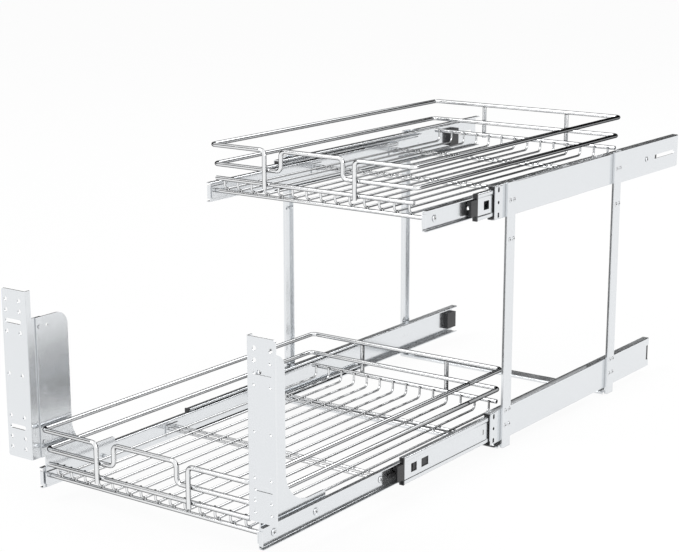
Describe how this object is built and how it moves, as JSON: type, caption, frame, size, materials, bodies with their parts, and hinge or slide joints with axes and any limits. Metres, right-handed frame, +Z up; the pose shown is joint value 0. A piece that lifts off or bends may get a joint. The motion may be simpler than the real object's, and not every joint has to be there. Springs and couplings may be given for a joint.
{
  "type": "pull-out cabinet basket",
  "caption": "Two-tier pull-out wire basket for a base cabinet: chrome wire baskets on full-extension ball slides in a steel frame, with door brackets on the lower basket.",
  "frame": {"origin": "cabinet floor, on the centre plane, at the front edge of the front posts; at rest this is also the middle of the underside of the whole box, to 3 mm", "axes": "+X to the right seen from the front, +Y into the cabinet, +Z up"},
  "size_m": [0.4196, 1.051, 0.4118],
  "materials": {
    "bright_zinc": "bright zinc plate",
    "chrome_wire": "polished",
    "plain_steel": "satin",
    "bright_fastener": "bright",
    "black_plastic": "moulded"
  },
  "bodies": {
    "frame": {"floor_bar_front": "bright_zinc", "floor_bar_rear": "bright_zinc", "front_bumpers": "black_plastic", "rear_bumpers": "black_plastic", "frame_rivets": "bright_fastener", "post_front_left": "bright_zinc", "post_front_right": "bright_zinc", "post_rear_left": "bright_zinc", "post_rear_right": "bright_zinc", "outer_rail_lower_left": "bright_zinc", "outer_rail_lower_right": "bright_zinc", "outer_rail_upper_left": "bright_zinc", "outer_rail_upper_right": "bright_zinc", "rear_bracket_left": "bright_zinc", "rear_bracket_right": "bright_zinc"},
    "lower_basket": {"lower_basket_top_rim": "chrome_wire", "lower_basket_middle_rim": "chrome_wire", "lower_basket_low_rims": "chrome_wire", "lower_basket_rear_uprights": "chrome_wire", "lower_basket_floor_wires": "chrome_wire", "lower_basket_cross_wires": "chrome_wire", "lower_basket_lugs": "bright_zinc", "lower_basket_screws": "bright_fastener", "basket_rail_lower_left": "bright_zinc", "basket_rail_lower_right": "bright_zinc", "door_plate_left": "bright_zinc", "door_plate_right": "bright_zinc", "bracket_arm_left": "bright_zinc", "bracket_arm_right": "bright_zinc", "bracket_screws": "bright_fastener"},
    "middle_rail_lower_left_body": {"middle_rail_lower_left": "bright_zinc", "end_stop_lower_left": "black_plastic"},
    "outer_cage_lower_left_body": {"outer_cage_lower_left": "plain_steel"},
    "inner_cage_lower_left_body": {"inner_cage_lower_left": "black_plastic"},
    "release_lever_lower_left_body": {"release_lever_lower_left": "black_plastic"},
    "middle_rail_lower_right_body": {"middle_rail_lower_right": "bright_zinc", "end_stop_lower_right": "black_plastic"},
    "outer_cage_lower_right_body": {"outer_cage_lower_right": "plain_steel"},
    "inner_cage_lower_right_body": {"inner_cage_lower_right": "black_plastic"},
    "release_lever_lower_right_body": {"release_lever_lower_right": "black_plastic"},
    "upper_basket": {"upper_basket_top_rim": "chrome_wire", "upper_basket_middle_rim": "chrome_wire", "upper_basket_low_rims": "chrome_wire", "upper_basket_rear_uprights": "chrome_wire", "upper_basket_floor_wires": "chrome_wire", "upper_basket_cross_wires": "chrome_wire", "upper_basket_lugs": "bright_zinc", "upper_basket_screws": "bright_fastener", "basket_rail_upper_left": "bright_zinc", "basket_rail_upper_right": "bright_zinc"},
    "middle_rail_upper_left_body": {"middle_rail_upper_left": "bright_zinc", "end_stop_upper_left": "black_plastic"},
    "outer_cage_upper_left_body": {"outer_cage_upper_left": "plain_steel"},
    "inner_cage_upper_left_body": {"inner_cage_upper_left": "black_plastic"},
    "release_lever_upper_left_body": {"release_lever_upper_left": "black_plastic"},
    "middle_rail_upper_right_body": {"middle_rail_upper_right": "bright_zinc", "end_stop_upper_right": "black_plastic"},
    "outer_cage_upper_right_body": {"outer_cage_upper_right": "plain_steel"},
    "inner_cage_upper_right_body": {"inner_cage_upper_right": "black_plastic"},
    "release_lever_upper_right_body": {"release_lever_upper_right": "black_plastic"}
  },
  "joints": [
    {"name": "lower_basket_slide", "type": "slide", "parent": "frame", "child": "lower_basket", "axis": [0, 1, 0], "range_m": [0, 0.485]},
    {"name": "middle_rail_lower_left_slide", "type": "slide", "parent": "frame", "child": "middle_rail_lower_left_body", "axis": [0, 1, 0], "range_m": [0, 0.2425]},
    {"name": "outer_cage_lower_left_slide", "type": "slide", "parent": "frame", "child": "outer_cage_lower_left_body", "axis": [0, 1, 0], "range_m": [0, 0.12125]},
    {"name": "inner_cage_lower_left_slide", "type": "slide", "parent": "frame", "child": "inner_cage_lower_left_body", "axis": [0, 1, 0], "range_m": [0, 0.36375]},
    {"name": "release_lever_lower_left_hinge", "type": "hinge", "parent": "lower_basket", "child": "release_lever_lower_left_body", "pos_m": [-0.1743, -0.155, 0.03225], "axis": [1, 0, 0], "range_deg": [0, 2.5]},
    {"name": "middle_rail_lower_right_slide", "type": "slide", "parent": "frame", "child": "middle_rail_lower_right_body", "axis": [0, 1, 0], "range_m": [0, 0.2425]},
    {"name": "outer_cage_lower_right_slide", "type": "slide", "parent": "frame", "child": "outer_cage_lower_right_body", "axis": [0, 1, 0], "range_m": [0, 0.12125]},
    {"name": "inner_cage_lower_right_slide", "type": "slide", "parent": "frame", "child": "inner_cage_lower_right_body", "axis": [0, 1, 0], "range_m": [0, 0.36375]},
    {"name": "release_lever_lower_right_hinge", "type": "hinge", "parent": "lower_basket", "child": "release_lever_lower_right_body", "pos_m": [0.1743, -0.155, 0.03225], "axis": [1, 0, 0], "range_deg": [0, 2.5]},
    {"name": "upper_basket_slide", "type": "slide", "parent": "frame", "child": "upper_basket", "axis": [0, 1, 0], "range_m": [-0.33, 0.155]},
    {"name": "middle_rail_upper_left_slide", "type": "slide", "parent": "frame", "child": "middle_rail_upper_left_body", "axis": [0, 1, 0], "range_m": [-0.165, 0.0775]},
    {"name": "outer_cage_upper_left_slide", "type": "slide", "parent": "frame", "child": "outer_cage_upper_left_body", "axis": [0, 1, 0], "range_m": [-0.0825, 0.03875]},
    {"name": "inner_cage_upper_left_slide", "type": "slide", "parent": "frame", "child": "inner_cage_upper_left_body", "axis": [0, 1, 0], "range_m": [-0.2475, 0.11625]},
    {"name": "release_lever_upper_left_hinge", "type": "hinge", "parent": "upper_basket", "child": "release_lever_upper_left_body", "pos_m": [-0.1743, 0.175, 0.34225], "axis": [1, 0, 0], "range_deg": [0, 2.5]},
    {"name": "middle_rail_upper_right_slide", "type": "slide", "parent": "frame", "child": "middle_rail_upper_right_body", "axis": [0, 1, 0], "range_m": [-0.165, 0.0775]},
    {"name": "outer_cage_upper_right_slide", "type": "slide", "parent": "frame", "child": "outer_cage_upper_right_body", "axis": [0, 1, 0], "range_m": [-0.0825, 0.03875]},
    {"name": "inner_cage_upper_right_slide", "type": "slide", "parent": "frame", "child": "inner_cage_upper_right_body", "axis": [0, 1, 0], "range_m": [-0.2475, 0.11625]},
    {"name": "release_lever_upper_right_hinge", "type": "hinge", "parent": "upper_basket", "child": "release_lever_upper_right_body", "pos_m": [0.1743, 0.175, 0.34225], "axis": [1, 0, 0], "range_deg": [0, 2.5]}
  ],
  "couplings": [
    {"joint": "middle_rail_lower_left_slide", "follows": "lower_basket_slide", "ratio": 0.5},
    {"joint": "outer_cage_lower_left_slide", "follows": "lower_basket_slide", "ratio": 0.25},
    {"joint": "inner_cage_lower_left_slide", "follows": "lower_basket_slide", "ratio": 0.75},
    {"joint": "middle_rail_lower_right_slide", "follows": "lower_basket_slide", "ratio": 0.5},
    {"joint": "outer_cage_lower_right_slide", "follows": "lower_basket_slide", "ratio": 0.25},
    {"joint": "inner_cage_lower_right_slide", "follows": "lower_basket_slide", "ratio": 0.75},
    {"joint": "middle_rail_upper_left_slide", "follows": "upper_basket_slide", "ratio": 0.5},
    {"joint": "outer_cage_upper_left_slide", "follows": "upper_basket_slide", "ratio": 0.25},
    {"joint": "inner_cage_upper_left_slide", "follows": "upper_basket_slide", "ratio": 0.75},
    {"joint": "middle_rail_upper_right_slide", "follows": "upper_basket_slide", "ratio": 0.5},
    {"joint": "outer_cage_upper_right_slide", "follows": "upper_basket_slide", "ratio": 0.25},
    {"joint": "inner_cage_upper_right_slide", "follows": "upper_basket_slide", "ratio": 0.75}
  ]
}
